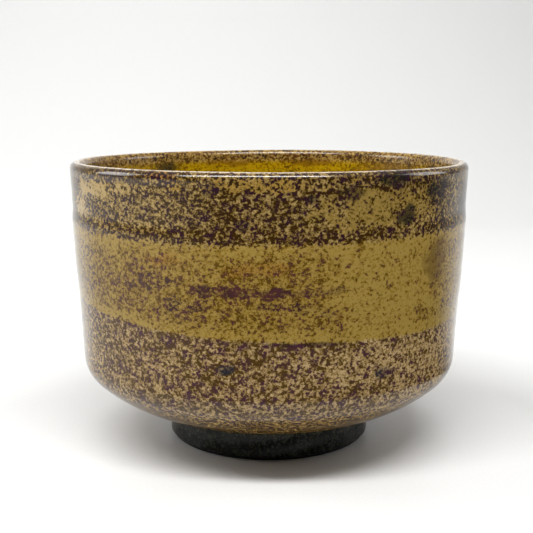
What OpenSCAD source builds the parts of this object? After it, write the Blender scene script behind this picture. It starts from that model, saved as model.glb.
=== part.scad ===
// Matcha bowl: a half-cylinder tea bowl on a low foot ring.
// Every section is a half profile turned about Z. The origin is the centre of
// the circle that the foot stands on, and +Z is up. Sizes are in millimetres.

/* [Bowl] */
// Diameter over the glazed lip
rim_d = 120; // [100:1:144]
// Height from the table to the top of the lip
bowl_h = 85.5; // [71:0.5:103]
// Lean of the outer wall from upright, in degrees
wall_lean = 2.8; // [1:0.1:4]
// Height at which the straight wall begins
knee_h = 26.7; // [22:0.1:32]
// Radius of the clay between the wall and the underside
corner_r = 9; // [7:0.1:12]
// Radius of the clay of the underside, from the corner to the foot
under_r = 47.2; // [39:0.1:57]

/* [Lip and inside] */
// Radius of the glazed lip, seen in section
lip_r = 2; // [1.6:0.1:2.6]
// Lean of the inner wall from upright, in degrees
inner_lean = 4.2; // [3:0.1:6]
// Radius of the clay between the inner wall and the floor
inner_corner_r = 12; // [9:0.5:16]
// Radius of the dished floor
floor_r = 130; // [100:1:180]
// Thickness of the clay at the middle of the floor
floor_t = 5.5; // [4:0.1:7]
// Diameter of the tea pool in the floor
pool_d = 44; // [34:1:54]
// Depth of the tea pool at its middle, below its edge
pool_depth = 3; // [2.5:0.1:3.6]

/* [Foot] */
// Diameter of the foot over its glaze
foot_d = 62; // [52:0.5:74.5]
// Height at which the underside meets the foot
foot_h = 9.2; // [8:0.1:11]
// Thickness of the foot wall at its bottom edges
foot_wall = 5.4; // [4.5:0.1:6.5]
// Lean of the inner side of the foot, in degrees
foot_lean = 4; // [0:0.5:8]
// Radius of the two bottom edges of the foot
foot_edge_r = 1.2; // [0.8:0.1:1.5]
// Height of the recess at the inner side of the foot
recess_h = 7; // [6:0.1:8]
// Drop of the recess ceiling at its middle
recess_drop = 0.8; // [0:0.1:1.5]

/* [Glaze] */
// Thickness of one coat of the bowl glaze
glaze_t = 0.4; // [0.3:0.05:0.6]
// Thickness of the dark coat on the foot and in its recess
foot_glaze_t = 0.5; // [0.3:0.05:0.7]
// Height of the lower edge of the band where the two dips overlap
band_low = 42.5; // [36:0.5:50]
// Height of the upper edge of that band
band_high = 67.5; // [58:0.5:69]
// Height over which the band's upper edge fades into a single coat
band_shoulder = 1.2; // [0.6:0.1:3]
// Radius of the glaze that pools in the corner between the foot and the underside
pool_fillet_r = 1.4; // [1:0.1:2]

/* [Hidden] */
$fn = 180;
// Straight steps that stand for each rounded stretch of a section
steps = 14;

// The lip is an arc about lip_c, tangent to both faces of the wall
lip_c = [rim_d / 2 - lip_r, bowl_h - lip_r];
lip_clay_r = lip_r - glaze_t;
// Directions square to the two faces of the wall, out of the clay
wall_out = [cos(wall_lean), -sin(wall_lean)];
inner_out = [-cos(inner_lean), sin(inner_lean)];

// Outer face: the straight wall, then the corner, then the underside
knee_drop = lip_c.y + lip_clay_r * wall_out.y - knee_h;
knee = [lip_c.x + lip_clay_r * wall_out.x - knee_drop * tan(wall_lean), knee_h];
corner_c = knee - corner_r * wall_out;
foot_clay_r = foot_d / 2 - foot_glaze_t;
under_c = apex([foot_clay_r, foot_h], corner_c, under_r, under_r - corner_r);
under_end = heading(corner_c - under_c);

// The pooled glaze is an arc about fillet_c, tangent to the foot and the underside
fillet_out = foot_d / 2 + pool_fillet_r - under_c.x;
fillet_reach = under_r + glaze_t + pool_fillet_r;
fillet_c = under_c + [fillet_out, -sqrt(fillet_reach * fillet_reach - fillet_out * fillet_out)];
fillet_angle = heading(fillet_c - under_c);
fillet_end_r = under_c.x + (under_r + glaze_t) * cos(fillet_angle);

// Foot ring
foot_in_r = foot_d / 2 - foot_glaze_t - foot_wall;
recess_r = foot_in_r - recess_h * tan(foot_lean);

// Inner face: the tea pool, then the dished floor, then the corner and wall
pool_low = recess_h - recess_drop + floor_t;
pool_round = (pool_d * pool_d / 4 + pool_depth * pool_depth) / (2 * pool_depth);
pool_c = [0, pool_low + pool_round];
floor_c = [0, pool_low + pool_depth + sqrt(floor_r * floor_r - pool_d * pool_d / 4)];
inner_corner_c = inner_corner();
floor_end = heading(inner_corner_c - floor_c);

// The angle from the r axis of a direction in the section
function heading(v) = atan2(v.y, v.x);
// The point at distance ra from a and rb from b, on the left of the way from a to b
function apex(a, b, ra, rb) =
    let(d = norm(b - a), u = (b - a) / d, x = (ra * ra - rb * rb + d * d) / (2 * d))
    a + x * u + sqrt(ra * ra - x * x) * [-u.y, u.x];
// Points along an arc from angle a0 to angle a1
function arc(c, r, a0, a1, n = steps) =
    [for (i = [0 : n]) let(a = a0 + (a1 - a0) * i / n) c + r * [cos(a), sin(a)]];
// The angle at which the underside, t outside the clay, is at radius r
function under_angle(t, r) = -acos((r - under_c.x) / (under_r + t));
// The short stretch of underside that the pooled glaze touches
function under_start(t) =
    arc(under_c, under_r + t, under_angle(t, foot_clay_r), under_angle(t, fillet_end_r), 2);
// A point t outside the clay wall, level with height z on the clay
function wall_point(t, z) = knee + (z - knee_h) * [tan(wall_lean), 1] + t * wall_out;
// The underside and the corner, t outside the clay, from the foot up to the wall
function outer_base(t) = concat(
    under_start(t),
    tail(arc(under_c, under_r + t, under_angle(t, fillet_end_r), under_end)),
    tail(arc(corner_c, corner_r + t, under_end, -wall_lean))
);
// The lip, t outside the clay, from the outer wall over to the inner wall
function lip_arc(t) = arc(lip_c, lip_clay_r + t, -wall_lean, 180 - inner_lean);
// The radius at which the pool and the floor meet, t above the clay
function pool_edge(t) =
    let(a = pool_round - t, b = floor_r - t, gap = floor_c.y - pool_c.y)
    let(z = (a * a - b * b + gap * gap) / (2 * gap))
    sqrt(a * a - z * z);
// The inner face, t outside the clay, from the middle of the floor up to the wall
function inner_face(t) = concat(
    arc(pool_c, pool_round - t, -90, -acos(pool_edge(t) / (pool_round - t)), 6),
    tail(arc(floor_c, floor_r - t, -acos(pool_edge(t) / (floor_r - t)), floor_end, 8)),
    tail(arc(inner_corner_c, inner_corner_r - t, floor_end, -inner_lean))
);
// The centre of the arc that touches both the floor and the inner wall
function inner_corner() =
    let(down = [-sin(inner_lean), -cos(inner_lean)])
    let(q = lip_c + (lip_clay_r + inner_corner_r) * inner_out - floor_c)
    let(reach = floor_r - inner_corner_r, along = q * down)
    floor_c + q + (sqrt(along * along - q * q + reach * reach) - along) * down;
// The foot's inner side and the recess ceiling, t inside the recess
function recess_face(t) = [
    [foot_in_r - foot_edge_r * tan(foot_lean) - t / cos(foot_lean), foot_edge_r],
    [recess_r + t * tan(foot_lean) - t / cos(foot_lean), recess_h - t],
    [0, recess_h - recess_drop - t]
];
function tail(list) = [for (i = [1 : len(list) - 1]) list[i]];
function front(list) = [for (i = [0 : len(list) - 2]) list[i]];
function reverse(list) = [for (i = [len(list) - 1 : -1 : 0]) list[i]];

// A coat of glaze between two faces that run the same way
module coat(under, over) {
    rotate_extrude()
        polygon(concat(under, reverse(over)));
}

// The thrown body: wall, floor with its tea pool, and the ceiling of the recess
module clay_bowl() {
    color("#9c7a58")
        rotate_extrude()
            polygon(concat(
                [[recess_r, recess_h]],
                outer_base(0),
                lip_arc(0),
                reverse(inner_face(0)),
                [[0, recess_h - recess_drop]]
            ));
}

// The foot ring, joined to the body along a cone, with a bare pad at the bottom
module foot_ring() {
    outer_edge_c = [foot_clay_r - foot_edge_r, foot_edge_r];
    inner_edge_c = [foot_in_r - foot_edge_r * tan(foot_lean) + foot_edge_r, foot_edge_r];
    color("#8a6648")
        rotate_extrude()
            polygon(concat(
                [[recess_r, recess_h], [foot_clay_r, foot_h]],
                arc(outer_edge_c, foot_edge_r, 0, -90, 6),
                arc(inner_edge_c, foot_edge_r, -90, -180, 6)
            ));
}

// The coat inside, from the tea pool up to the lip
module inner_glaze() {
    color("#8e6d2a")
        coat(
            concat(inner_face(0), [lip_c + lip_clay_r * inner_out]),
            concat(inner_face(glaze_t), [lip_c + lip_r * inner_out])
        );
}

// The iron-dark coat that wraps the lip
module lip_glaze() {
    color("#4a3626")
        coat(lip_arc(0), lip_arc(glaze_t));
}

// The first dip, from the foot up to the top of the band
module lower_dip_glaze() {
    color("#7a5a40")
        coat(
            concat(outer_base(0), [wall_point(0, band_high)]),
            concat(outer_base(glaze_t), [wall_point(glaze_t, band_high)])
        );
}

// The second dip, from the lip down, lying over the first within the band
module upper_dip_glaze() {
    color("#8a7138")
        coat(
            [
                lip_c + lip_clay_r * wall_out,
                wall_point(0, band_high),
                wall_point(glaze_t, band_high),
                wall_point(glaze_t, band_low)
            ],
            [
                lip_c + lip_r * wall_out,
                wall_point(glaze_t, band_high + band_shoulder),
                wall_point(2 * glaze_t, band_high),
                wall_point(2 * glaze_t, band_low + glaze_t)
            ]
        );
}

// The dark coat on the foot, pooled where the foot meets the underside
module foot_glaze() {
    color("#24211d")
        coat(
            concat([[foot_clay_r, foot_edge_r]], under_start(glaze_t)),
            concat(
                [[foot_d / 2, foot_edge_r]],
                front(arc(fillet_c, pool_fillet_r, 180, 180 + fillet_angle, 6))
            )
        );
}

// The dark coat in the recess, from above the pad over the ceiling
module recess_glaze() {
    color("#2b2722")
        coat(recess_face(0), recess_face(foot_glaze_t));
}

clay_bowl();
foot_ring();
inner_glaze();
lip_glaze();
upper_dip_glaze();
lower_dip_glaze();
foot_glaze();
recess_glaze();
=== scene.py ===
# %% [markdown]
# # A matcha bowl in two dips of speckled glaze
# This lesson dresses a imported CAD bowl. The CAD holds the clay body, the foot ring
# and six coats of glaze as solids of revolution. Blender adds what a lathe-true
# solid can't show: the faint rings a thrower's fingers leave, the wavy edges where
# one dip of glaze lies over another, and a glaze full of iron specks.
#
# First the CAD is loaded as a fixed frame. Its box is kept, because nothing that
# is made here may change how big the bowl is.

# %% Load the frame
import math
import bmesh
import bpy
import numpy as np
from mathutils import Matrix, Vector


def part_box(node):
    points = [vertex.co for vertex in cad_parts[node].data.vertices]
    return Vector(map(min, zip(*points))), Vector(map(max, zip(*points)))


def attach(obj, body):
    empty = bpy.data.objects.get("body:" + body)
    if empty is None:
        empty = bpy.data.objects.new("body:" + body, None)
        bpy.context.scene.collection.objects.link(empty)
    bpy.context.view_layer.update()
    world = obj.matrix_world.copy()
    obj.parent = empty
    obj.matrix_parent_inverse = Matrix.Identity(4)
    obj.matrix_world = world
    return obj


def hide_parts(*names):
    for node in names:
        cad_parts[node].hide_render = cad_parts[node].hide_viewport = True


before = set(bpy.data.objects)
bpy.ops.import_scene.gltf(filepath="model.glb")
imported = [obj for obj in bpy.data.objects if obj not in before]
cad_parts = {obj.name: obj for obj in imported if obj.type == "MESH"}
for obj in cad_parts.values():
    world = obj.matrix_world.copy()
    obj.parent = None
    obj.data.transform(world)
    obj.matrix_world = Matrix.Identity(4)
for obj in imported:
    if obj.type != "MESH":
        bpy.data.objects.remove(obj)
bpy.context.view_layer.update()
MM = 0.001
print("nodes:", ", ".join(sorted(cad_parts)))

# %% [markdown]
# ## Reading sizes off the frame
# Every node is round about Z, so two numbers describe any point of it: how far it
# is from the axis and how high it is. Reading those from the CAD's own vertices
# keeps this script in step with the CAD when somebody changes a size there.
#
# Metres are the unit of the scene. A bowl is easier to think of in millimetres, so
# the sizes here are in millimetres and are turned into metres at the last moment.

# %% Sizes from the frame
AT_EDGE = 0.01         # how near to an extreme a vertex counts as being on it, in millimetres


def half_section(node):
    """The radius and the height of every vertex of a CAD node, in millimetres."""
    points = np.array([v.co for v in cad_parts[node].data.vertices]) / MM
    return np.hypot(points[:, 0], points[:, 1]), points[:, 2]


def side_radius(node):
    """The greatest radius of a node at its lowest edge."""
    radius, height = half_section(node)
    return radius[height < height.min() + AT_EDGE].max()


rim_r = half_section("lip_glaze")[0].max()
lip_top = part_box("lip_glaze")[1].z / MM
band_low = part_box("upper_dip_glaze")[0].z / MM
band_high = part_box("lower_dip_glaze")[1].z / MM
pool_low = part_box("inner_glaze")[0].z / MM
foot_clay_r = half_section("foot_ring")[0].max()
foot_joint_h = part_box("foot_ring")[1].z / MM
foot_r = side_radius("foot_glaze")
foot_glaze_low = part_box("foot_glaze")[0].z / MM
recess_r = half_section("recess_glaze")[0].max()
recess_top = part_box("recess_glaze")[1].z / MM
print(f"rim {2 * rim_r:.1f} mm across, {lip_top:.1f} mm high, foot {2 * foot_r:.1f} mm across")

# %% [markdown]
# ## The bowl's section as one line
# A potter sees the bowl as one profile: up the underside from the foot, round the
# corner, up the wall, over the lip, down inside and across the floor to the tea
# pool. The profile could be read point by point from the CAD, but its flats would
# show in the shine. Here it is rebuilt from the same arcs, which stay truly round,
# and then measured against the CAD.

# %% Sizes of the arcs, and two helpers
GLAZE = 0.4            # thickness of one coat
LIP_R = 2.0            # radius of the glazed lip
WALL_LEAN = 2.8        # lean of the outer wall from upright, in degrees
INNER_LEAN = 4.2       # lean of the inner wall
KNEE_H = 26.7          # where the straight wall begins
CORNER_R = 9.0         # clay radius between the wall and the underside
UNDER_R = 47.2         # clay radius of the underside
INNER_CORNER_R = 12.0  # clay radius between the inner wall and the floor
FLOOR_R = 130.0        # clay radius of the dished floor
POOL_R = 22.0          # radius of the tea pool, from the axis
POOL_DEPTH = 3.0       # depth of the pool below its edge


def heading(v):
    return math.atan2(v[1], v[0])


def arc(centre, radius, start, end, count=60):
    """Points along an arc, as rows of radius and height."""
    a = np.linspace(start, end, count)
    return np.array(centre) + radius * np.column_stack([np.cos(a), np.sin(a)])


def apex(a, b, from_a, from_b):
    """The point at distance from_a from a and from_b from b, to the left of a-b."""
    a, b = np.array(a), np.array(b)
    d = np.linalg.norm(b - a)
    u = (b - a) / d
    x = (from_a**2 - from_b**2 + d * d) / (2 * d)
    return a + x * u + math.sqrt(from_a**2 - x * x) * np.array([-u[1], u[0]])

# %% [markdown]
# The lip's circle comes first, because both faces of the wall are tangent to it. The
# outer wall leads down to the corner, and the underside is the arc that touches that
# corner and ends at the joint with the foot. Inside, the floor and the pool are
# dishes centred on the axis, and one more arc joins the floor to the inner wall.

# %% Centres of the arcs, and the whole line
lean = math.radians(WALL_LEAN)
inner_lean = math.radians(INNER_LEAN)
lip_c = np.array([rim_r - LIP_R, lip_top - LIP_R])
lip_clay_r = LIP_R - GLAZE
wall_out = np.array([math.cos(lean), -math.sin(lean)])
wall_in = np.array([-math.cos(inner_lean), math.sin(inner_lean)])
wall_top = lip_c + lip_clay_r * wall_out
knee = np.array([wall_top[0] - (wall_top[1] - KNEE_H) * math.tan(lean), KNEE_H])
corner_c = knee - CORNER_R * wall_out
under_c = apex((foot_clay_r, foot_joint_h), corner_c, UNDER_R, UNDER_R - CORNER_R)
under_end = heading(corner_c - under_c)
under_start = heading(np.array([foot_clay_r, foot_joint_h]) - under_c)

floor_c = np.array([0, pool_low + POOL_DEPTH + math.sqrt(FLOOR_R**2 - POOL_R**2)])
pool_round = (POOL_R**2 + POOL_DEPTH**2) / (2 * POOL_DEPTH)
pool_c = np.array([0, pool_low + pool_round])
down = np.array([-math.sin(inner_lean), -math.cos(inner_lean)])
q = lip_c + (lip_clay_r + INNER_CORNER_R) * wall_in - floor_c
along = q @ down
slide = math.sqrt(along**2 - q @ q + (FLOOR_R - INNER_CORNER_R) ** 2) - along
inner_c = floor_c + q + slide * down
floor_end = heading(inner_c - floor_c)

sections = [
    arc(under_c, UNDER_R, under_start, under_end),
    arc(corner_c, CORNER_R, under_end, -lean),
    arc(lip_c, lip_clay_r, -lean, math.pi - inner_lean),
    arc(inner_c, INNER_CORNER_R, -inner_lean, floor_end),
    arc(floor_c, FLOOR_R, floor_end, -math.acos(POOL_R / FLOOR_R)),
    arc(pool_c, pool_round, -math.acos(POOL_R / pool_round), -math.pi / 2),
]
corners = np.vstack(sections)
steps = np.hypot(*np.diff(corners, axis=0).T)
corners = corners[np.concatenate([[True], steps > 1e-6])]   # without the doubled ends of arcs
lengths = np.concatenate([[0], np.cumsum(np.hypot(*np.diff(corners, axis=0).T))])
total = lengths[-1]
print(f"the line is {total:.1f} mm long, from the foot to the middle of the pool")

# %% [markdown]
# The line needs three answers at any distance along it: where it is, which way is
# out of the clay, and how far along a given height lies. The normal comes from the
# slope of a fine, slightly smoothed sampling, so no joint between arcs shows.

# %% Asking the line where it is
FINE = 0.05            # sampling of the line
SOFTEN = 9             # samples averaged, so that creases turn over about 0.5 mm

fine_s = np.arange(0, total + FINE / 2, FINE)
fine_line = np.column_stack([np.interp(fine_s, lengths, corners[:, i]) for i in (0, 1)])
slope = np.gradient(fine_line, axis=0)
kernel = np.ones(SOFTEN) / SOFTEN
padded = np.pad(slope, ((SOFTEN // 2, SOFTEN // 2), (0, 0)), mode="edge")
slope = np.column_stack([np.convolve(padded[:, i], kernel, "valid") for i in (0, 1)])
slope /= np.hypot(slope[:, 0], slope[:, 1])[:, None]
fine_out = np.column_stack([slope[:, 1], -slope[:, 0]])


def line_at(s):
    """Radius and height of the clay surface, and the way out of it, at distance s."""
    place = np.stack([np.interp(s, fine_s, fine_line[:, i]) for i in (0, 1)], -1)
    out = np.stack([np.interp(s, fine_s, fine_out[:, i]) for i in (0, 1)], -1)
    return place, out


lip_turn = fine_s[np.argmax(fine_line[:, 1])]
outer_s = fine_s[fine_s < lip_turn]
outer_h = fine_line[: len(outer_s), 1]


def s_at(height):
    """Distance along the outer face of a height, in millimetres."""
    return np.interp(height, outer_h, outer_s)


s_lip_out = s_at(wall_top[1])
s_lip_in = s_lip_out + lip_clay_r * (math.pi - inner_lean + lean)


def off_line(node):
    """How far a CAD node's outer face is from the line at most, between the foot and the band."""
    radius, height = half_section(node)
    level = (height > foot_joint_h) & (height < band_low)
    outer = level & (radius > np.interp(height, outer_h, fine_line[: len(outer_s), 0]) - 0.2)
    spots = np.unique(np.round(np.column_stack([radius, height])[outer], 2), axis=0)
    gaps = np.hypot(spots[:, :1] - fine_line[:, 0], spots[:, 1:] - fine_line[:, 1])
    return gaps.min(axis=1).max()


for node in ("clay_bowl", "lower_dip_glaze"):
    print(f"{node}: outer face {off_line(node):.2f} mm off the line at most")

# %% [markdown]
# ## The hand in the form
# A thrown wall is never lathe-true. It could be roughened with a displacement
# texture, but that can't be kept in step from one coat to the next. A short sum of
# waves can: every coat of the bowl asks the same function how far the wall wanders
# at that place, so coats that meet still meet. The sizes stay under a quarter of a
# millimetre, less than the glaze is thick.

# %% Waves left by throwing
COLUMNS = 360          # steps round the bowl
RING_PITCH = 5.2       # height between two finger rings
RING_DEPTH = 0.02      # how far a ring stands out
RINGS_FROM = 18        # height at which the rings begin, above the turned underside
WANDER = 0.16          # size of the slow waves, shared out: the quicker, the smaller
SLOW_SHARE = 0.55      # how much of them is kept
LIP_WAVE = 0.14        # how far the lip rises and falls
LIP_WAVE_FROM = 0.7    # share of the bowl's height at which that starts

turn = np.linspace(0, 2 * math.pi, COLUMNS, endpoint=False)   # 0 faces the viewer
rng = np.random.default_rng(12)
slow_waves = [(WANDER / n, n, rng.uniform(-0.09, 0.09), rng.uniform(0, 6.28))
              for n in (2, 3, 5, 8, 13)]


def smooth(x):
    """An S curve from 0 to 1."""
    x = np.clip(x, 0, 1)
    return x * x * (3 - 2 * x)


def wander(height, angle):
    """How far the wall wanders outwards, in millimetres."""
    slow = sum(a * np.sin(n * angle + k * height + p) for a, n, k, p in slow_waves)
    rings = RING_DEPTH * np.sin(2 * math.pi * height / RING_PITCH + 0.8 * np.sin(angle + 0.4))
    fade = smooth((height - RINGS_FROM) / 12) * smooth((lip_top - 3 - height) / 6)
    return slow * SLOW_SHARE + rings * fade


def lip_wave(height, angle):
    """How far the wall rises or falls near the lip, in millimetres."""
    wave = 0.6 * np.cos(2 * angle + 1.1) + 0.4 * np.sin(3 * angle + 0.3)
    rise = smooth((height / lip_top - LIP_WAVE_FROM) / (1 - LIP_WAVE_FROM))
    return LIP_WAVE * wave * rise


CALM_R = 20            # within this radius the floor wanders less and less


def spin(radius, height, angle):
    """Points in metres from radius, height and angle, which spread over each other."""
    radius, height, angle = np.broadcast_arrays(radius, height, angle)
    return np.stack([radius * np.sin(angle), -radius * np.cos(angle), height], -1) * MM


def on_line(s, lift):
    """Points above the clay surface by lift, at distances s along it, one row each."""
    s, lift, angle = np.broadcast_arrays(s, lift, turn)
    place, out = line_at(s)
    radius = place[..., 0] + out[..., 0] * lift
    height = place[..., 1] + out[..., 1] * lift
    shift = wander(height, angle) * smooth(radius / CALM_R)
    radius = radius + out[..., 0] * shift
    height = height + out[..., 1] * shift + lip_wave(height, angle)
    return spin(radius, height, angle)


spread = wander(np.linspace(10, lip_top, 200)[:, None], turn)
print(f"the wall wanders between {spread.min():.2f} and {spread.max():.2f} mm")

# %% [markdown]
# ## Turning a section into a mesh
# Blender's Screw modifier would turn an outline about Z, but every coat here has an
# edge that waves round the bowl, so each column of the mesh has its own outline.
# The helper below takes a closed outline for every column and joins them into one
# closed shell. It also lays the side that is seen out flat in a UV map, in a few
# strips one above another, so that a baked texture spends its room on what shows.

# %% A helper that turns a piece
SEEN_SHARE = 0.94      # part of the UV map for the seen side
STRIP_SHARE = 0.985    # part of a strip's height that is used, to keep strips apart
HIDDEN_BAND = (0.955, 0.995)   # where the hidden side lies, above the seen side
SHARP = 50             # faces that meet more steeply than this, in degrees, keep a crease


def put_in_scene(name, data):
    """A new object in the scene, with a mesh, a lamp or a camera in it."""
    thing = bpy.data.objects.new(name, data)
    bpy.context.scene.collection.objects.link(thing)
    return thing


def strip_map(loop, seen, row, column, faces_per_row):
    """UV corners of every face: the seen rows in strips, the hidden rows above them."""
    middle = loop.mean(axis=1)
    radius = np.hypot(loop[..., 0], loop[..., 1]).mean(axis=1)
    run = np.hypot(np.diff(radius), np.diff(middle[:, 2]))
    run = np.concatenate([[0], np.cumsum(run)])
    seen_run = run[seen - 1]
    strips = max(1, round(math.sqrt(2 * math.pi * radius[:seen].max() / seen_run)))
    while faces_per_row % strips:
        strips -= 1
    per = faces_per_row // strips
    strip = column // per
    shown = row < seen - 1
    low = run[row] / seen_run
    high = run[np.minimum(row + 1, len(run) - 1)] / seen_run
    u0, u1 = (column - strip * per) / per, (column + 1 - strip * per) / per
    v0 = np.where(shown, (strip + low * STRIP_SHARE) / strips * SEEN_SHARE, HIDDEN_BAND[0])
    v1 = np.where(shown, (strip + high * STRIP_SHARE) / strips * SEEN_SHARE, HIDDEN_BAND[1])
    corners = np.stack([np.stack([u0, v0], -1), np.stack([u1, v0], -1),
                        np.stack([u1, v1], -1), np.stack([u0, v1], -1)], 1)
    return np.clip(corners, 0.001, 0.999)


def turned_piece(name, loop, seen, marks=None, poles=False):
    """A closed shell from a loop of rows, of which the first, as many as seen, are what shows.
    With poles, the loop starts and ends on the axis and isn't joined up."""
    rows, columns = loop.shape[:2]
    last = rows - 1 if poles else rows
    row = np.repeat(np.arange(last), columns)
    column = np.tile(np.arange(columns), last)
    after, beside = (row + 1) % rows, (column + 1) % columns
    quads = np.stack([row * columns + column, row * columns + beside,
                      after * columns + beside, after * columns + column], 1)
    points = loop.reshape(-1, 3)
    a, b, c, d = (points[quads[:, i]] for i in range(4))
    if np.einsum("ij,ij->", a, np.cross(b, c) + np.cross(c, d)) < 0:
        order = [0, 3, 2, 1]
    else:
        order = [0, 1, 2, 3]
    corners = strip_map(loop, seen, row, column, columns)
    mesh = bpy.data.meshes.new(name)
    mesh.from_pydata(points.tolist(), [], quads[:, order].tolist())
    uv = mesh.uv_layers.new(name="OFBake")
    uv.data.foreach_set("uv", corners[:, order].astype(np.float32).ravel())
    for mark, values in (marks or {}).items():
        field = mesh.attributes.new(mark, "FLOAT", "POINT")
        values = np.broadcast_to(values, (rows, columns)).astype(np.float32)
        field.data.foreach_set("value", values.ravel())
    piece = put_in_scene(name, mesh)
    if poles:
        close_poles(mesh)
    mesh.shade_smooth()
    mesh.set_sharp_from_angle(angle=math.radians(SHARP))
    print(f"{name}: {len(mesh.polygons)} faces")
    return piece


def close_poles(mesh):
    """Merges the rings of points that lie on the axis, which turns their quads into triangles."""
    shape = bmesh.new()
    shape.from_mesh(mesh)
    bmesh.ops.remove_doubles(shape, verts=shape.verts, dist=0.001 * MM)
    shape.to_mesh(mesh)
    shape.free()


def stand_for(piece, node, finish):
    """The piece rides on the bowl, hides its CAD node and takes that node's finish."""
    piece.data.materials.append(finish)
    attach(piece, "root")
    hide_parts(node)

# %% [markdown]
# ## The edges of the two dips
# The bowl was held by its foot and dipped lip first, then held by its lip and dipped
# foot first, or the other way about. Where the two coats overlap there is a band
# with an edge above and an edge below, and neither is quite level, because a hand
# held the bowl. A few waves round the bowl say how high each edge runs: a tilt, a
# rise at the sides, and two small wobbles.

# %% How high the band's edges run
def edge_round(middle, tilt, side_rise, wobbles):
    """The height of an edge all round the bowl, in millimetres."""
    edge = middle + tilt * np.sin(turn) + side_rise * (1 - np.cos(2 * turn))
    return edge + sum(size * np.sin(n * turn + phase) for size, n, phase in wobbles)


low_edge = edge_round(band_low - 0.5, -2.43, 0.9, [(0.16, 5, 1.0), (0.1, 11, 2.0)])
high_edge = edge_round(band_high - 0.3, 0.3, 0.5, [(0.14, 4, 0.5), (0.08, 9, 1.0)])
s_low, s_high = s_at(low_edge), s_at(high_edge)
print(f"band from {low_edge.min():.1f}-{low_edge.max():.1f} mm up to "
      f"{high_edge.min():.1f}-{high_edge.max():.1f} mm")

# %% [markdown]
# ## The coats of glaze
# Each coat is a shell with the clay's shape on its hidden side. The second dip lies
# on the first within the band. A steep step at its low edge would tilt the shine and
# draw a pale stripe round the bowl, so the coat starts thin and swells slowly, as
# melted glaze does. Its rows crowd together near that edge.
#
# Three marks ride on the coats of the bowl: the distance above the band's low edge,
# the distance above its high edge, and the distance past the top of the lip. The
# glaze's colours can then change exactly where the coats do.

# %% The second dip, from the band's low edge to the lip
ROW = 0.9              # usual distance between rows of a mesh, in millimetres
LIP_COAT_DROP = 1.6    # how far the lip's coat reaches down either side
EDGE_ROWS = np.array([0, 0.3, 0.7, 1.2, 1.8, 2.5])   # closer rows above the low edge
EDGE_SWELL = 11.0      # height over which the coat swells to its full thickness
EDGE_SHARE = 0.12      # share of that thickness at the very edge
TOP_FADE = 5.0         # height over which the band's top step dies away


def even_rows(start, end):
    """Shares from 0 to 1 that put rows about ROW apart between two distances."""
    return np.linspace(0, 1, max(3, round(float(np.mean(end - start)) / ROW) + 1))[:, None]


def between(start, end, shares):
    return start + (end - start) * shares


def dip_lift(s):
    """How far the top coat stands off the clay: two coats within the band, one above it."""
    swell = EDGE_SHARE + (1 - EDGE_SHARE) * smooth((s - s_low) / EDGE_SWELL)
    fade = 1 - smooth((s - s_high) / TOP_FADE)
    return GLAZE + GLAZE * swell * fade


def zone_marks(s):
    """How far each row is above the band's edges and past the top of the lip, in millimetres."""
    return {"above_low": s - s_low, "above_high": s - s_high, "past_lip": s - lip_turn}


s_upper_end = s_lip_out - LIP_COAT_DROP
edge_rows = s_low + EDGE_ROWS[:, None]
plain_start = edge_rows[-1]
plain_rows = between(plain_start, s_upper_end, even_rows(plain_start, s_upper_end)[1:])
upper_rows = np.vstack([edge_rows, plain_rows])
# behind, the coat lies on the clay above the band, and on the first coat within it
behind_high = between(np.full(COLUMNS, s_upper_end), s_high + 0.4, np.linspace(0, 1, 6)[:, None])
behind_low = between(s_high - 0.1, s_low + 0.5, np.linspace(0, 1, 8)[:, None])
upper_loop = np.concatenate([
    on_line(upper_rows, dip_lift(upper_rows)),
    on_line(behind_high, 0.0),
    on_line(behind_low, GLAZE * 0.9),
])
all_upper = np.vstack([upper_rows, behind_high, behind_low])
upper_coat = turned_piece("upper_coat", upper_loop, len(upper_rows), zone_marks(all_upper))

# %% [markdown]
# The first dip runs from the foot up under the second, and ends at the band's high
# edge, where it makes the step that shows through. The lip's coat wraps over both
# faces of the wall, in close rows, because the lip is the sharpest curve on the bowl
# and catches the brightest line of light.

# %% The first dip, and the coat on the lip
LIP_ROWS = 44

lower_rows = between(0.0, s_high - 0.3, even_rows(0.0, s_high))
lower_back = between(s_high - 0.3, 0.0, np.linspace(0, 1, 30)[:, None])
lower_loop = np.concatenate([on_line(lower_rows, GLAZE), on_line(lower_back, 0.0)])
all_lower = np.vstack([lower_rows, lower_back])
lower_coat = turned_piece("lower_coat", lower_loop, len(lower_rows), zone_marks(all_lower))

lip_start, lip_end = s_upper_end, s_lip_in + LIP_COAT_DROP
lip_rows = np.linspace(lip_start, lip_end, LIP_ROWS)[:, None]
lip_back = np.linspace(lip_end, lip_start, LIP_ROWS // 2)[:, None]
lip_loop = np.concatenate([on_line(lip_rows, GLAZE), on_line(lip_back, 0.0)])
all_lip = np.vstack([lip_rows, lip_back])
lip_coat = turned_piece("lip_coat", lip_loop, len(lip_rows), zone_marks(all_lip))

# %% [markdown]
# Inside, one coat runs from the lip down the wall, round the corner and over the
# floor to the middle of the tea pool. The loop starts and ends on the axis, so the
# helper closes it there.

# %% The coat inside
inner_rows = between(total, lip_end, even_rows(lip_end, total))
inner_back = np.linspace(lip_end, total, 70)[:, None]
inner_loop = np.concatenate([on_line(inner_rows, GLAZE), on_line(inner_back, 0.0)])
all_inner = np.vstack([inner_rows, inner_back])
inner_marks = zone_marks(all_inner)
inner_coat = turned_piece("inner_coat", inner_loop, len(inner_rows), inner_marks, poles=True)

# %% [markdown]
# ## The foot's dark coats
# The foot was brushed with a second, iron-black glaze, which pooled in the corner
# under the body. Its outline is a short one: up the side from a rounded lower edge,
# round the pooled corner, and out to nothing on the underside. Brushed glaze lies
# unevenly, so a few quick waves swell and thin it.

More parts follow.
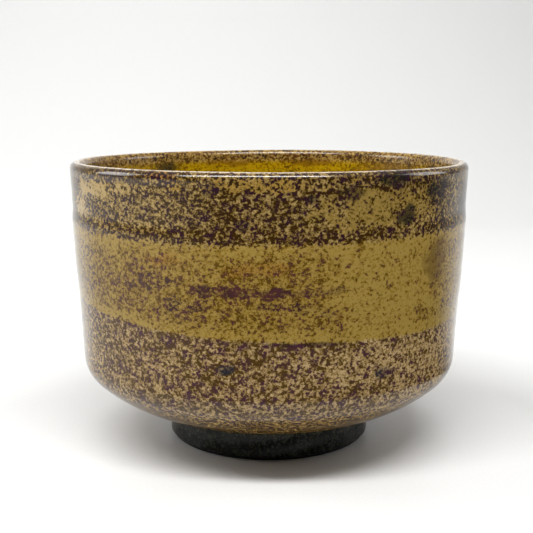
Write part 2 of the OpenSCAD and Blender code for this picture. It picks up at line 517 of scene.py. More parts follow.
# %% The coat on the outside of the foot
POOLED_R = 1.4         # radius of the pooled glaze in the corner
FOOT_SWELL = 0.09      # how far the brushed coat swells and thins
BEAD_R = 0.35          # rounding of the coat's lower edge

foot_waves = [(FOOT_SWELL / (1 + 0.15 * n), n, rng.uniform(-1.2, 1.2), rng.uniform(0, 6.28))
              for n in (4, 7, 11, 17, 26)]


def brushed(height):
    """Swell of the brushed glaze, in millimetres, for rows of heights."""
    return sum(a * np.sin(n * turn + k * height + p) for a, n, k, p in foot_waves)


reach = UNDER_R + GLAZE + POOLED_R
pooled_out = foot_r + POOLED_R - under_c[0]
pooled_c = under_c + np.array([pooled_out, -math.sqrt(reach**2 - pooled_out**2)])
pooled_end = heading(pooled_c - under_c) + math.pi
bead = arc((foot_r - BEAD_R, foot_glaze_low + BEAD_R), BEAD_R, -math.pi / 2, 0, 6)
side = np.column_stack([np.full(9, foot_r), np.linspace(bead[-1, 1], pooled_c[1], 11)[1:-1]])
pooled = arc(pooled_c, POOLED_R, math.pi, pooled_end + 0.02, 12)
tip = under_c + (UNDER_R + 0.5 * GLAZE) * (pooled_c - under_c) / reach
foot_seen = np.vstack([bead, side, pooled])
foot_hidden = np.array([tip, [foot_clay_r, foot_joint_h - GLAZE], [foot_clay_r, foot_glaze_low]])
foot_line = np.vstack([foot_seen, foot_hidden])
foot_rows = foot_line[:, 1:]
swells = (np.arange(len(foot_line)) < len(foot_seen))[:, None]       # the hidden side stays still
swell = brushed(foot_rows) * swells * smooth((pooled_c[1] + 1.3 - foot_rows) / 1.2)
foot_loop = spin(foot_line[:, :1] + swell, foot_rows, turn)
foot_coat = turned_piece("foot_coat", foot_loop, len(foot_seen))

# %% [markdown]
# In the recess the same coat covers the inner side of the foot and the ceiling, which
# drops a little towards the middle, where the trimming tool left it.

# %% The coat in the recess
RECESS_CORNER_R = 1.6  # rounding where the side meets the ceiling
CEILING_ROWS = 20

recess_low_r = side_radius("recess_glaze")
radius, height = half_section("recess_glaze")
dark_t = recess_low_r - radius[height < height.min() + AT_EDGE].min()
ceiling_r = radius[height > recess_top - AT_EDGE].max()
on_axis = height[radius < AT_EDGE]
edge_h = height[radius > recess_r - 2].max() - dark_t
turn_r = np.interp(edge_h, [foot_glaze_low, recess_top], [recess_low_r, ceiling_r]) - dark_t
turn_c = (turn_r - RECESS_CORNER_R, edge_h - RECESS_CORNER_R)
ceiling = np.linspace([0, on_axis.min()], [turn_c[0], edge_h], CEILING_ROWS)
turn_in = arc(turn_c, RECESS_CORNER_R, math.pi / 2, 0, 8)
inner_side = np.linspace(turn_in[-1], [recess_low_r - dark_t, foot_glaze_low], 5)
recess_seen = np.vstack([ceiling, turn_in[1:], inner_side[1:]])
recess_hidden = np.array([[recess_low_r, foot_glaze_low], [ceiling_r, recess_top],
                          [0, on_axis.max()]])
recess_line = np.vstack([recess_seen, recess_hidden])
recess_coat = turned_piece("recess_coat", spin(recess_line[:, :1], recess_line[:, 1:], turn),
                           len(recess_seen), poles=True)

# %% [markdown]
# ## Glaze shaders
# Short helpers first. One places a shader node and plugs its inputs; the others name
# the jobs that every glaze here needs: remap a value, mix two colours, and open a
# node group with named inputs and outputs.

# %% Helpers for shader nodes
def place(tree, kind, inputs=None, **settings):
    """Adds a shader node with its settings; an input is a value or another node's socket."""
    node = tree.nodes.new("ShaderNode" + kind)
    for name, value in settings.items():
        setattr(node, name, value)
    for name, value in (inputs or {}).items():
        if isinstance(value, bpy.types.NodeSocket):
            tree.links.new(value, node.inputs[name])
        else:
            node.inputs[name].default_value = value
    return node


def remap(tree, value, low, high, to_low=0.0, to_high=1.0):
    """Smoothly remaps low..high to to_low..to_high."""
    sockets = {"Value": value, "From Min": low, "From Max": high,
               "To Min": to_low, "To Max": to_high}
    return place(tree, "MapRange", sockets, interpolation_type="SMOOTHSTEP").outputs[0]


def maths(tree, operation, a, b=0.0):
    return place(tree, "Math", {0: a, 1: b}, operation=operation).outputs[0]


def mixed(tree, share, a, b, mode="MIX"):
    """Colour a, turning to colour b as share goes to 1."""
    return place(tree, "Mix", {0: share, 6: a, 7: b}, data_type="RGBA", blend_type=mode).outputs[2]


def blend(tree, share, a, b):
    """Number a, turning to number b as share goes to 1."""
    return place(tree, "Mix", {0: share, 2: a, 3: b}).outputs[0]


def vectors(tree, operation, a, b=(0, 0, 0)):
    """The vector of a sum, a product and so on, and the number of a length or a dot product."""
    node = place(tree, "VectorMath", {0: a, 1: b}, operation=operation)
    return node.outputs["Value" if operation in ("LENGTH", "DOT_PRODUCT") else "Vector"]


def height_of(tree, where):
    return place(tree, "SeparateXYZ", {0: where}).outputs["Z"]


def new_group(name, inputs, outputs):
    """A node group with named sockets. Returns its tree, its inputs and a way to fill an output."""
    tree = bpy.data.node_groups.new(name, "ShaderNodeTree")
    for label, value in inputs.items():
        kind = "Vector" if value is None else "Color" if isinstance(value, tuple) else "Float"
        socket = tree.interface.new_socket(label, in_out="INPUT", socket_type="NodeSocket" + kind)
        if value is not None:
            socket.default_value = value
    for label in outputs:
        kind = "Color" if label == "Colour" else "Float"
        tree.interface.new_socket(label, in_out="OUTPUT", socket_type="NodeSocket" + kind)
    inside = tree.nodes.new("NodeGroupInput").outputs
    result = tree.nodes.new("NodeGroupOutput")
    return tree, inside, lambda label, socket: tree.links.new(socket, result.inputs[label])


def use(tree, group, **inputs):
    """Places a node group, plugs its inputs and returns its outputs."""
    node = tree.nodes.new("ShaderNodeGroup")
    node.node_tree = group
    for label, value in inputs.items():
        if isinstance(value, bpy.types.NodeSocket):
            tree.links.new(value, node.inputs[label])
        else:
            node.inputs[label].default_value = value
    return node.outputs


def colour(r, g, b):
    """A colour as a painter reads it, 0 to 255, in the linear light that shaders use."""
    def linear(c):
        c /= 255
        return c / 12.92 if c <= 0.04045 else ((c + 0.055) / 1.055) ** 2.4
    return linear(r), linear(g), linear(b), 1.0


print("a middle grey is", round(colour(128, 128, 128)[0], 3), "in linear light")

# %% [markdown]
# ### Specks, clouds and spots
# The iron in the clay bleeds up through the glaze as dark specks about a millimetre
# across. They aren't round dots: they run together like frost. A Voronoi texture
# gives dots, so fractal noise cut off at a level is used instead, which gives
# ragged specks whose number grows as the level falls.
#
# Clouds are the same noise left soft, for slow changes of colour. A spot is one soft
# ragged patch at a chosen place on the bowl. All three work in the bowl's own space,
# so that a pattern runs on from one coat to the next without a break.

# %% Groups for specks, clouds and spots
METRE = 1 / MM
HALO = 0.12            # how far below a speck's level its dark rim reaches
FRAY_SIZE = 4          # size of the raggedness of a spot's edge, in millimetres
FRAY_DEPTH = 4.0


def noise_in(tree, inside, detail, roughness, distortion=0.0):
    """Fractal noise at the group's Place, squashed in height, with features of its Size."""
    upright = place(tree, "CombineXYZ", {"X": 1.0, "Y": 1.0, "Z": inside["Squash"]}).outputs[0]
    where = vectors(tree, "MULTIPLY", inside["Place"], upright)
    scale = maths(tree, "DIVIDE", METRE, inside["Size"])
    sockets = {"Vector": where, "W": inside["Seed"], "Scale": scale, "Detail": detail,
               "Roughness": roughness, "Distortion": distortion}
    return place(tree, "TexNoise", sockets, noise_dimensions="4D").outputs[0]


def speck_group():
    tree, inside, give = new_group(
        "specks", {"Place": None, "Size": 1.6, "Squash": 1.0, "Level": 0.5, "Softness": 0.03,
                   "Seed": 0.0}, ["Mask", "Halo"])
    noise = noise_in(tree, inside, 2.5, 0.6, 0.3)
    low = maths(tree, "SUBTRACT", inside["Level"], inside["Softness"])
    high = maths(tree, "ADD", inside["Level"], inside["Softness"])
    give("Mask", remap(tree, noise, low, high))
    give("Halo", remap(tree, noise, maths(tree, "SUBTRACT", low, HALO), inside["Level"]))
    return tree


def cloud_group():
    tree, inside, give = new_group(
        "clouds", {"Place": None, "Size": 20.0, "Squash": 1.0, "Low": 0.4, "High": 0.6,
                   "Seed": 0.0}, ["Mask"])
    noise = noise_in(tree, inside, 3.0, 0.5)
    give("Mask", remap(tree, noise, inside["Low"], inside["High"]))
    return tree


def spot_group():
    tree, inside, give = new_group(
        "spot", {"Place": None, "Centre": None, "Wide": 8.0, "Tall": 4.0, "Ragged": 0.5},
        ["Mask"])
    away = vectors(tree, "SUBTRACT", inside["Place"], inside["Centre"])
    wide = maths(tree, "DIVIDE", METRE, inside["Wide"])
    tall = maths(tree, "DIVIDE", METRE, inside["Tall"])
    shape = place(tree, "CombineXYZ", {"X": wide, "Y": wide, "Z": tall}).outputs[0]
    distance = vectors(tree, "LENGTH", vectors(tree, "MULTIPLY", away, shape))
    sockets = {"Vector": inside["Place"], "Scale": METRE / FRAY_SIZE, "Detail": 3.0}
    fray = maths(tree, "SUBTRACT", place(tree, "TexNoise", sockets).outputs[0], 0.5)
    pushed = maths(tree, "MULTIPLY", fray, inside["Ragged"])
    ragged = maths(tree, "ADD", distance, maths(tree, "MULTIPLY", pushed, FRAY_DEPTH))
    give("Mask", remap(tree, ragged, 1.15, 0.5))
    return tree


specks, clouds, spot = speck_group(), cloud_group(), spot_group()
print("shader groups:", ", ".join(g.name for g in (specks, clouds, spot)))

# %% [markdown]
# ### The speckled glaze
# One group holds what all the bowl's coats have in common: a pale ground that darkens
# round every speck, ragged specks whose number drifts from place to place, a dust of
# finer specks between them, a faint unevenness of the surface, and a gloss that is a
# little duller where iron has come through. The coats differ in the values they
# give it.

# %% The group for speckled glaze
FINE_SHARE = 0.55      # size of the dust, as a share of the specks' size
GLOSS = 0.12           # roughness of clear glaze
IRON_DULLS = 0.05      # how much rougher a speck is


def glaze_group():
    tree, inside, give = new_group(
        "speckled glaze",
        {"Place": None, "Ground": colour(140, 115, 70), "Pale": colour(160, 135, 90),
         "Speck": colour(50, 30, 20), "Deep": colour(34, 22, 26), "Level": 0.5, "Softness": 0.035,
         "Size": 1.2, "Squash": 1.12, "Dust": 0.5, "Drift": 0.03},
        ["Colour", "Roughness", "Height"])
    here = inside["Place"]
    drift = use(tree, clouds, Place=here, Size=7.0, Low=0.3, High=0.7, Seed=3.0)["Mask"]
    drift = maths(tree, "MULTIPLY", maths(tree, "SUBTRACT", drift, 0.5), inside["Drift"])
    level = maths(tree, "ADD", inside["Level"], drift)
    fine_level = maths(tree, "ADD", level, 0.03)
    fine_size = maths(tree, "MULTIPLY", inside["Size"], FINE_SHARE)
    shared = {"Place": here, "Squash": inside["Squash"], "Softness": inside["Softness"]}
    main = use(tree, specks, Size=inside["Size"], Level=level, Seed=1.0, **shared)
    fine = use(tree, specks, Size=fine_size, Level=fine_level, Seed=7.0, **shared)
    ground = mixed(tree, main["Halo"], inside["Pale"], inside["Ground"])
    warmth = use(tree, clouds, Place=here, Size=2.2, Low=0.4, High=0.65, Seed=5.0)["Mask"]
    speck = mixed(tree, warmth, inside["Speck"], inside["Deep"])
    dust = maths(tree, "MULTIPLY", fine["Mask"], inside["Dust"])
    iron = maths(tree, "MAXIMUM", main["Mask"], dust)
    give("Colour", mixed(tree, iron, ground, speck))
    give("Roughness", maths(tree, "ADD", maths(tree, "MULTIPLY", iron, IRON_DULLS), GLOSS))
    peel = use(tree, clouds, Place=here, Size=2.6, Low=0.2, High=0.8, Seed=9.0)["Mask"]
    give("Height", maths(tree, "SUBTRACT", peel, maths(tree, "MULTIPLY", iron, 0.15)))
    return tree


speckled = glaze_group()
print("the glaze takes", ", ".join(item.name for item in speckled.interface.items_tree
                                   if item.in_out == "INPUT"))

# %% [markdown]
# ### How a finish begins and ends
# Every finish begins with the bowl's own space, so that its pattern stays put when
# the bowl moves. It ends with one surface shader and a bump, which tilts the shine
# over hollows far too shallow to be worth any mesh.

# %% The first and the last nodes of a finish
def new_finish(name):
    """A material with no shader yet; returns it, its tree and the bowl-space place."""
    finish = bpy.data.materials.new(name)
    finish.use_nodes = True
    tree = finish.node_tree
    tree.nodes.clear()
    return finish, tree, place(tree, "TexCoord").outputs["Object"]


def shine(tree, base, roughness, height, depth, strength=0.3, ior=1.4):
    """Ends a material: the surface shader, with a bump from a height map of a depth in mm."""
    bump = place(tree, "Bump", {"Height": height, "Distance": depth * MM, "Strength": strength})
    sockets = {"Base Color": base, "Roughness": roughness, "Normal": bump.outputs[0], "IOR": ior}
    surface = place(tree, "BsdfPrincipled", sockets)
    output = place(tree, "OutputMaterial")
    tree.links.new(surface.outputs[0], output.inputs[0])

# %% [markdown]
# ### Pointing at a place on the wall
# A potter would point at a mark in the glaze: so far round from the front, so high
# up, outside or inside. The line that shaped the coats turns that into a point, so a
# spot sits on its wall even when the wall's shape changes.

# %% A place from an angle and a height
inner_s = fine_s[fine_s > lip_turn][::-1]
inner_h = fine_line[len(fine_s) - len(inner_s):, 1][::-1]


def on_wall(angle, height, inside=False):
    """The place on the glaze at an angle from the front, in degrees, and a height."""
    s = np.interp(height, inner_h, inner_s) if inside else s_at(height)
    here, out = line_at(s)
    here = here + GLAZE * out
    return [float(c) for c in spin(here[0], here[1], math.radians(angle))]


print("half way up in front:", [round(c / MM, 1) for c in on_wall(0, lip_top / 2)], "mm")

# %% [markdown]
# ### The zones
# The dips share one family of colours, but not the same iron. The upper zone is olive
# with crowded aubergine specks. The band, where the glaze lies double, is a clear
# olive gold with few. Below it the ground is a pinker tan. Over the lip the glaze runs
# thin and pale, and its top is paler still: a painted highlight along the crest. Inside
# it is amber, painted brighter near the lip as painted light against the shade there,
# and a deeper amber further down. Each zone but the first begins at a mark on the mesh
# or at a height, and noise frays the band's two edges.

# %% Colours of the zones, and where each one begins
def zone(ground, pale, speck, deep, level, dust=0.5):
    """Colours round the specks, between them, and of the specks; their level; their dust."""
    paints = {"Ground": ground, "Pale": pale, "Speck": speck, "Deep": deep}
    colours = {label: colour(*paint) for label, paint in paints.items()}
    return {**colours, "Level": level, "Dust": dust}


ZONES = [
    zone((140, 110, 52), (178, 148, 90), (66, 44, 8), (54, 29, 34), 0.492),         # underside
    zone((147, 120, 70), (184, 158, 114), (74, 53, 18), (66, 37, 50), 0.497),       # below the band
    zone((132, 104, 34), (155, 129, 62), (84, 59, 10), (76, 41, 42), 0.545, 0.7),   # band
    zone((130, 104, 48), (172, 146, 92), (52, 33, 5), (44, 20, 34), 0.49),          # above it
    # the top of the lip is pale where the glaze runs thin, and paler still as a painted highlight
    # along the crest
    zone((204, 184, 150), (224, 208, 180), (120, 88, 62), (78, 56, 42), 0.585),     # top of the lip
    zone((156, 122, 50), (184, 152, 88), (92, 58, 22), (56, 38, 22), 0.515, 0.6),   # just inside
    # the inner wall near the lip is painted brighter than deeper in: painted light against the
    # shade under the lip
    zone((170, 133, 2), (188, 152, 12), (130, 94, 4), (98, 70, 6), 0.56, 0.6),      # inner wall
    zone((148, 118, 24), (166, 137, 42), (112, 80, 20), (84, 60, 18), 0.545, 0.6),  # deeper in
]
# for each zone after the first: a mark, and the millimetres where it begins and is full
ZONE_STARTS = [
    ("height", 16, 25),
    ("frayed_low", -0.3, 0.4),
    ("frayed_high", -0.6, 0.8),
    ("past_lip", -1.0, -0.4),
    ("past_lip", 0.3, 0.9),
    ("past_lip", 3.2, 5.6),
    ("past_lip", 9.0, 24.0),
]
TO_BAND, PAST_BAND, PAST_LIP = 1, 2, 4   # rows of that list
FRAY = 2.2             # how far the band's high edge frays, in millimetres
SPECK_SIZE = 0.85
print(len(ZONES), "zones from the foot to the tea pool")

# %% [markdown]
# ### Accidents of the kiln
# No two sides of a fired bowl look the same. Some patches are barer and some more
# crowded, and here and there iron has run together in a dark spot or a streak, or
# ochre shows. Noise alone spreads such things evenly, so each one is written down
# with its own place and size. A change of level above zero leaves fewer specks.

# %% Patches with more or fewer specks
# angle from the front, height, width, height of the spot, raggedness, change of level
CROWDING = [
    (-36, 54, 34, 8, 0.9, -0.015),      # the band is browner on the left
    (33, 56, 26, 14, 0.4, 0.07),        # and clearer on the right
    (20, 76, 13, 6, 0.6, 0.02),
    (-5, 74, 16, 7, 0.6, -0.012),
    (-44, 74, 24, 8, 0.7, 0.025),
    (-53, 79.5, 9, 2.6, 0.8, 0.12),     # bare yellow patch near the lip on the left
    (-41, 80.2, 11, 1.8, 0.8, 0.06),
    (-62, 75, 4, 4, 0.7, 0.1),
    (28, 75, 21, 6.5, 0.6, 0.055),      # smooth golden patch on the right
    (-42, 84.2, 30, 2.0, 0.8, -0.03),   # fringe of iron under the lip on the left
    (0, 82.3, 24, 1.6, 0.9, 0.035),     # fewer under the lip in front
    (50, 36, 36, 14, 0.6, 0.035),       # and low down on either side
    (-62, 36, 30, 14, 0.6, 0.005),
]
INNER_CROWDING = [
    (128, 80, 22, 4.5, 0.7, -0.09),     # browner inside on the right
    (118, 84, 18, 2.5, 0.7, -0.05),
    (-165, 76, 20, 4, 0.7, 0.03),
]
print(len(CROWDING) + len(INNER_CROWDING), "patches")

# %% Stains
# angle, height, width, height of the spot, raggedness, colour, share of it in the ground
STAINS = [
    (-14, 55.6, 9, 1.4, 0.7, (62, 38, 36), 0.15),   # a streak of run-together specks
    (-3, 54.8, 11, 1.7, 0.7, (62, 38, 36), 0.15),
    (8, 55.0, 11, 1.3, 0.7, (62, 38, 36), 0.15),
    (17, 55.4, 7, 0.9, 0.7, (62, 38, 36), 0.15),
    (5, 51.4, 10, 1.5, 0.8, (58, 34, 36), 0.1),
    (16, 49, 5, 0.9, 0.8, (58, 34, 36), 0.1),
    (-22, 51, 8, 3.0, 0.8, (58, 36, 34), 0.0),
    (-30, 57, 9, 3.0, 0.8, (60, 38, 34), 0.0),
    (0, 82.3, 22, 1.6, 0.9, (160, 126, 50), 0.7),   # ochre showing under the lip
    (28, 76, 21, 7, 0.6, (140, 114, 48), 0.75),     # olive gold on the right
    (35, 78.4, 3.4, 2.4, 0.5, (150, 122, 56), 0.7),
    (72, 75.5, 8, 6, 0.5, (50, 50, 38), 0.6),
    (34, 83.5, 8, 2.6, 0.6, (34, 32, 22), 0.7),
    (37, 73.5, 4.0, 3.0, 0.5, (28, 30, 22), 0.8),
    (49.5, 79, 5, 3.2, 0.5, (30, 28, 20), 0.7),
    (20, 80.6, 4, 2, 0.6, (44, 34, 20), 0.6),
    (-13.7, 81.2, 2.6, 1.5, 0.6, (36, 28, 24), 0.5),
    (10, 78.8, 2.2, 1.5, 0.6, (36, 28, 24), 0.5),
    (-6.7, 72.3, 2.6, 1.6, 0.6, (36, 28, 30), 0.5),
    (-1.7, 61.2, 9, 1.8, 0.7, (146, 96, 30), 0.35),
    (-27, 62.6, 7, 1.8, 0.7, (150, 100, 24), 0.4),
    (-29, 84.4, 7, 1.2, 0.7, (150, 98, 34), 0.5),
    (50.5, 59.7, 6, 8, 0.5, (84, 60, 22), 0.6),
    (8, 41.3, 12, 0.8, 0.4, (56, 38, 24), 0.6),
    (-11.4, 34.6, 3, 1.6, 0.7, (40, 40, 46), 0.5),
    (32.6, 31.7, 3, 1.6, 0.7, (40, 40, 46), 0.5),
]
INNER_STAINS = [
    (-140, 79.5, 6, 2.6, 0.4, (44, 38, 28), 0.8),
    (128, 79.5, 14, 2.2, 0.7, (122, 88, 62), 0.5),
    (164, 81.5, 12, 1.6, 0.8, (118, 72, 18), 0.6),
    (-165, 81, 9, 1.4, 0.8, (118, 72, 18), 0.6),
]
DARK_PAINT = 0.1       # a stain darker than this, its three linear colours added, is iron
print(len(STAINS) + len(INNER_STAINS), "stains")

# %% [markdown]
# ### From zones to one glaze
# Each input of the glaze has a value in every zone, and a chain of mixes goes from
# zone to zone as their shares grow. Glaze that lies double clears just inside the
# band's edges, and specks gather just outside them, so the level is nudged there too.

# %% Marks, zones and edges
CLEARED, GATHERED = 0.055, -0.022   # changes of level inside and outside the band's edges


def wall_marks(tree, here):
    """The mesh's marks, the frayed ones and the height, in millimetres."""
    marks = {mark: place(tree, "Attribute", attribute_name=mark).outputs["Fac"]
             for mark in ("above_low", "above_high", "past_lip")}
    fray = use(tree, clouds, Place=here, Size=1.1, Low=0.25, High=0.75, Seed=11.0)["Mask"]
    fray = maths(tree, "MULTIPLY", maths(tree, "SUBTRACT", fray, 0.5), FRAY)
    half_fray = maths(tree, "MULTIPLY", fray, 0.5)
    marks["frayed_low"] = maths(tree, "ADD", marks["above_low"], half_fray)
    marks["frayed_high"] = maths(tree, "ADD", marks["above_high"], fray)
    marks["height"] = maths(tree, "MULTIPLY", height_of(tree, here), METRE)
    return marks


def zoned(tree, shares, label):
    """One input of the glaze, taken through all the zones."""
    result = ZONES[0][label]
    join = mixed if isinstance(result, tuple) else blend
    for share, zone_values in zip(shares, ZONES[1:]):
        result = join(tree, share, result, zone_values[label])
    return result


def nudged(tree, level, mask, change):
    sockets = {0: mask, 1: change, 2: level}
    return place(tree, "Math", sockets, operation="MULTIPLY_ADD").outputs[0]


def edges_nudged(tree, level, marks, shares):
    """The level of the specks, with the band's edges cleared inside and crowded outside."""
    to_band, past_band = shares[TO_BAND], shares[PAST_BAND]
    in_band = maths(tree, "MULTIPLY", to_band, maths(tree, "SUBTRACT", 1.0, past_band))
    near = maths(tree, "MAXIMUM", remap(tree, marks["above_low"], 5.0, 0.5),
                 remap(tree, marks["above_high"], -4.5, -0.5))
    level = nudged(tree, level, maths(tree, "MULTIPLY", in_band, near), CLEARED)
    below = maths(tree, "MULTIPLY", remap(tree, marks["above_low"], -4.0, 0.0),
                  maths(tree, "SUBTRACT", 1.0, to_band))
    above = maths(tree, "MULTIPLY", remap(tree, marks["above_high"], 5.0, 0.5), past_band)
    return nudged(tree, level, maths(tree, "MAXIMUM", below, above), GATHERED)

# %% [markdown]
# ### The finish of a coat
# Now the parts come together, once for each coat: zones and edges first, then the
# patches, then the stains. A dark stain is iron, so it also turns the specks in it
# dark and draws more of them. The lip has a higher index of refraction, because its
# top catches the brightest line of light on the bowl.

# %% Finishes of the bowl's coats
STAIN_GATHERS = -0.038   # change of level within a dark stain
INSIDE_DULLS = 0.08      # how much rougher the glaze is inside


def glaze_finish(name, crowding, stains, inside=False, ior=1.4):
    """A finish for one coat: the zones it crosses, their edges, and its spots."""
    finish, tree, here = new_finish(name)
    marks = wall_marks(tree, here)
    shares = [remap(tree, marks[mark], start, full) for mark, start, full in ZONE_STARTS]

    def spot_at(angle, high, wide, tall, ragged):
        return use(tree, spot, Place=here, Centre=on_wall(angle, high, inside), Wide=wide,
                   Tall=tall, Ragged=ragged)["Mask"]

    level = edges_nudged(tree, zoned(tree, shares, "Level"), marks, shares)
    for *where, change in crowding:
        level = nudged(tree, level, spot_at(*where), change)
    ground, pale, speck = (zoned(tree, shares, label) for label in ("Ground", "Pale", "Speck"))
    for *where, paint, share in stains:
        mask = spot_at(*where)
        paint = colour(*paint)
        tint = maths(tree, "MULTIPLY", mask, share)
        ground = mixed(tree, tint, ground, paint)
        pale = mixed(tree, tint, pale, paint)
        if sum(paint[:3]) < DARK_PAINT:
            speck = mixed(tree, mask, speck, paint)
            level = nudged(tree, level, mask, STAIN_GATHERS)
    glaze = use(tree, speckled, Place=here, Ground=ground, Pale=pale, Speck=speck,
                Deep=zoned(tree, shares, "Deep"), Level=level, Size=SPECK_SIZE,
                Dust=zoned(tree, shares, "Dust"))
    duller = maths(tree, "MULTIPLY", shares[PAST_LIP], INSIDE_DULLS)
    roughness = maths(tree, "ADD", glaze["Roughness"], duller)
    shine(tree, glaze["Colour"], roughness, glaze["Height"], 0.05, ior=ior)
    print(f"{name}: {len(tree.nodes)} nodes")
    return finish


outer = (CROWDING, STAINS)
inner = (INNER_CROWDING, INNER_STAINS)
stand_for(upper_coat, "upper_dip_glaze", glaze_finish("upper dip glaze", *outer))
stand_for(lower_coat, "lower_dip_glaze", glaze_finish("lower dip glaze", *outer))
stand_for(lip_coat, "lip_glaze", glaze_finish("lip glaze", *outer, ior=1.6))
stand_for(inner_coat, "inner_glaze", glaze_finish("inner glaze", *inner, inside=True))

# %% [markdown]
# ### The dark coats of the foot
# A glaze with a great deal of iron in it fires nearly black. It breaks to grey-green
# in blotches, so two sizes of cloud lighten it, it is paler where it pooled under the
# body, and fine grains lie in it. A low index of refraction keeps its shine weak, so
# that it stays dark beside the pale surface it stands on.

# %% Finishes of the foot
POOL_LOW, POOL_HIGH = 6.8, 8.6   # heights between which the pooled glaze turns grey-green


def dark_finish(name):
    """Iron-black glaze with grey-green mottling, paler where it pooled."""
    finish, tree, here = new_finish(name)
    broad = use(tree, clouds, Place=here, Size=3.6, Low=0.46, High=0.6, Seed=2.0)["Mask"]
    mottle = use(tree, clouds, Place=here, Size=1.2, Low=0.5, High=0.64, Seed=4.0)["Mask"]
    base = mixed(tree, maths(tree, "MULTIPLY", broad, 0.6), colour(2, 3, 4), colour(40, 42, 34))
    base = mixed(tree, maths(tree, "MULTIPLY", mottle, 0.8), base, colour(52, 54, 46))
    pooled = remap(tree, height_of(tree, here), POOL_LOW * MM, POOL_HIGH * MM, 0.0, 0.6)
    base = mixed(tree, pooled, base, colour(66, 68, 50))
    grain = use(tree, specks, Place=here, Size=0.7, Level=0.6, Softness=0.05, Seed=4.0)["Mask"]
    base = mixed(tree, maths(tree, "MULTIPLY", grain, 0.5), base, colour(88, 84, 66))
    shine(tree, base, remap(tree, mottle, 0.0, 1.0, 0.22, 0.42), mottle, 0.08, ior=1.3)
    print(f"{name}: {len(tree.nodes)} nodes")
    return finish


stand_for(foot_coat, "foot_glaze", dark_finish("dark foot glaze"))
stand_for(recess_coat, "recess_glaze", dark_finish("dark recess glaze"))

# %% [markdown]
# ### Bare clay
# The pad that the bowl stands on is wiped clean before the firing, or the glaze
# would weld it to the kiln shelf. It is dark, matt and gritty.

# %% Finishes of the clay
BLACK_FROM, BLACK_FULL = 1.9, 0.9   # how far in from the foot's side the clay starts to darken to near black, and where it is fully so


def clay_finish(name, body, grit, blackened_edge=False):
    """Fired clay with sandy grit; with the last argument set, it darkens to near black towards the
    foot's outer edge.
    """
    finish, tree, here = new_finish(name)
    patch = use(tree, clouds, Place=here, Size=7.0, Low=0.35, High=0.65, Seed=6.0)["Mask"]
    grain = use(tree, specks, Place=here, Size=0.6, Level=0.56, Softness=0.06, Seed=8.0)
    base = mixed(tree, patch, body, mixed(tree, 0.5, body, grit))
    base = mixed(tree, maths(tree, "MULTIPLY", grain["Mask"], 0.7), base, grit)
    # the clay is painted near black towards the foot's outer edge
    if blackened_edge:
        radius = vectors(tree, "LENGTH", vectors(tree, "MULTIPLY", here, (1, 1, 0)))
        edge = [(foot_clay_r - inwards) * MM for inwards in (BLACK_FROM, BLACK_FULL)]
        base = mixed(tree, remap(tree, radius, *edge), base, colour(20, 18, 17))
    roughness = remap(tree, grain["Mask"], 0.0, 1.0, 0.75, 0.9)
    shine(tree, base, roughness, grain["Halo"], 0.08, 0.6)
    print(f"{name}: {len(tree.nodes)} nodes")
    return finish


for node, body, grit, blackened_edge in (
        ("clay_bowl", colour(150, 118, 86), colour(96, 66, 44), False),
        ("foot_ring", colour(120, 88, 62), colour(58, 38, 26), True)):
    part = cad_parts[node]
    part.data.materials.clear()
    part.data.materials.append(clay_finish(node.replace("_", " "), body, grit, blackened_edge))

# %% [markdown]
# ## Where it stands
# A pale sheet runs back from the bowl and curves up behind it, so that the floor has
# no far edge from in front. One extruded section makes it. From here on the sizes are
# in metres, as on a real table top.

# %% The sheet
SHEET_BACK = 0.42      # where the sheet starts to rise, behind the bowl
SHEET_RISE_R = 0.9     # radius of the rise
SHEET_HALF = 3.0       # half its width
SHEET_TOP = 2.5

flat = [(-SHEET_HALF, 0.0)] + [(y, 0.0) for y in np.linspace(-0.6, SHEET_BACK, 12)]
rise = [(SHEET_BACK + SHEET_RISE_R * math.sin(a), SHEET_RISE_R * (1 - math.cos(a)))
        for a in np.linspace(0, math.pi / 2, 40)[1:]]
section = flat + rise + [(SHEET_BACK + SHEET_RISE_R, SHEET_TOP)]
points = [(x, y, z) for y, z in section for x in (-SHEET_HALF, SHEET_HALF)]
quads = [(2 * i, 2 * i + 1, 2 * i + 3, 2 * i + 2) for i in range(len(section) - 1)]
sheet_mesh = bpy.data.meshes.new("backdrop")
sheet_mesh.from_pydata(points, [], quads)
sheet_mesh.shade_smooth()
sheet = put_in_scene("backdrop", sheet_mesh)
finish, tree, here = new_finish("pale sheet")
fibre = use(tree, clouds, Place=here, Size=0.8, Low=0.3, High=0.7)["Mask"]
sheet_base = mixed(tree, fibre, colour(236, 236, 235), colour(240, 240, 239))
shine(tree, sheet_base, 0.4, fibre, 0.01, 0.1)
sheet_mesh.materials.append(finish)
print(f"sheet: {len(quads)} strips, {2 * SHEET_HALF:.1f} m wide")

# %% [markdown]
# ### Lamps
# The key lamp hangs in front and above. It is long from side to side and narrow from
# front to back, so shadows are sharp in front of the foot and soft beside it, and its
# reflection draws a long pale line on the lip. Two weak fills light the flanks, and
# one more lamp is for the sheet behind.

# %% Four soft lamps
def soft_lamp(name, at, towards, wide, deep, power):
    """A soft lamp of a width and a depth, at a place, turned towards another."""
    lamp = bpy.data.lights.new(name, "AREA")
    lamp.shape = "RECTANGLE"
    lamp.size, lamp.size_y = wide, deep
    lamp.energy = power
    holder = put_in_scene(name, lamp)
    holder.location = at
    aim = Vector(towards) - Vector(at)
    holder.rotation_euler = aim.to_track_quat("-Z", "Y").to_euler()
    print(f"{name}: {power} W, {aim.length:.2f} m from what it lights")


soft_lamp("key", (-0.14, -0.42, 0.86), (-0.14, 0, 0), 1.1, 0.16, 10.7)
soft_lamp("fill_left", (-0.8, 0.08, 0.42), (0, 0, 0.05), 0.4, 0.4, 2.2)
soft_lamp("fill_right", (0.78, 0.16, 0.4), (0, 0, 0.05), 0.4, 0.4, 1.6)
soft_lamp("sheet_light", (-0.25, 0.25, 0.95), (-0.3, 1.25, 0.7), 0.7, 0.7, 6.5)

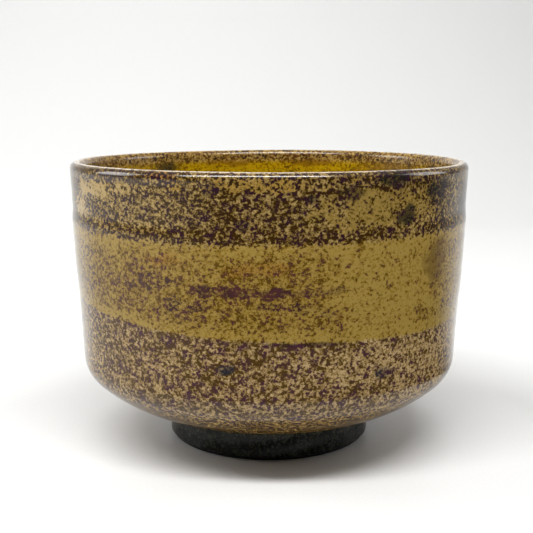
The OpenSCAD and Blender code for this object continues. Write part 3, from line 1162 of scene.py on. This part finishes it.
# %% [markdown]
# ### A card that only the glaze sees
# A glossy bowl on a pale sheet reflects the sheet, and the glaze goes grey. In a
# studio a dark card would be laid in front of it. This one is a flat ring just over
# the sheet, dark in front and pale behind and to the left, and it is hidden from
# the camera, from diffuse light and from shadows, so only reflections show it.

# %% The card
CARD_NEAR, CARD_FAR = 0.09, 2.5   # its inner and outer radius
CARD_STEPS = 96
CARD_LIFT = 0.002                 # height above the sheet
CARD_PALE_WAY = (-0.1, 1.0, 0)    # the side on which it is pale: behind, a little left

rays = np.linspace(0, 2 * math.pi, CARD_STEPS, endpoint=False)
card_points = [(r * math.sin(a), -r * math.cos(a), CARD_LIFT)
               for r in (CARD_NEAR, CARD_FAR) for a in rays]
card_faces = [(i, after, after + CARD_STEPS, i + CARD_STEPS)
              for i, after in ((i, (i + 1) % CARD_STEPS) for i in range(CARD_STEPS))]
card_mesh = bpy.data.meshes.new("card")
card_mesh.from_pydata(card_points, [], card_faces)
card = put_in_scene("card", card_mesh)
finish, tree, here = new_finish("card")
nap = use(tree, clouds, Place=here, Size=3.0, Low=0.3, High=0.7)["Mask"]
dark = mixed(tree, nap, colour(10, 10, 10), colour(16, 16, 16))
way = vectors(tree, "NORMALIZE", here)
behind = remap(tree, vectors(tree, "DOT_PRODUCT", way, CARD_PALE_WAY), -0.05, 0.62)
left = remap(tree, vectors(tree, "DOT_PRODUCT", way, (-1, 0, 0)), 0.3, 1.1, 0.0, 0.8)
pale_share = maths(tree, "MAXIMUM", behind, left)
shine(tree, mixed(tree, pale_share, dark, colour(246, 246, 245)), 0.9, nap, 0.02)
card_mesh.materials.append(finish)
card.visible_camera = False
card.visible_diffuse = False
card.visible_shadow = False
print(f"card: {len(card_faces)} faces")

# %% [markdown]
# ### The room
# The room is bright behind the bowl and a little to the left, and dim in front, so
# that pale lines of reflection run down both edges of the bowl. The camera itself
# sees a plain pale grey, which shows only past the edges of the sheet.

# %% The light of the room
BRIGHT_WAY = (-0.25, 0.97, 0)   # the side from which the room is bright
DIM, BRIGHT = 0.02, 1.15        # strength in front and behind
OVERHEAD = 0.36
TO_CAMERA = 0.6

world = bpy.data.worlds.new("room")
world.use_nodes = True
bpy.context.scene.world = world
tree = world.node_tree
way = place(tree, "TexCoord").outputs["Generated"]
strength = remap(tree, vectors(tree, "DOT_PRODUCT", way, BRIGHT_WAY), 0.05, 0.7, DIM, BRIGHT)
strength = blend(tree, remap(tree, height_of(tree, way), 0.45, 0.85), strength, OVERHEAD)
strength = blend(tree, place(tree, "LightPath").outputs["Is Camera Ray"], strength, TO_CAMERA)
tree.links.new(strength, tree.nodes["Background"].inputs["Strength"])
tree.nodes["Background"].inputs["Color"].default_value = (1, 1, 1, 1)
print("room:", len(tree.nodes), "nodes")

# %% [markdown]
# ### The camera
# The camera stands close, a little above the lip, and looks down just enough to see
# the far side of the inside. The Standard view keeps the colours as they were mixed.
# The lens and the place go together: a nearer camera with a shorter lens would open
# the rim's ellipse wider.

# %% Camera and view
DOWN = 9.61            # degrees below level
camera_data = bpy.data.cameras.new("camera")
camera_data.lens = 65.94
camera = put_in_scene("camera", camera_data)
camera.location = (0, -0.30044, 0.10298)
camera.rotation_euler = (math.radians(90 - DOWN), 0, math.radians(0.147))
bpy.context.scene.camera = camera
bpy.context.scene.view_settings.view_transform = "Standard"
bpy.context.scene.view_settings.look = "None"
print(f"camera {-camera.location.y:.2f} m in front of the bowl, {camera_data.lens:.0f} mm lens")
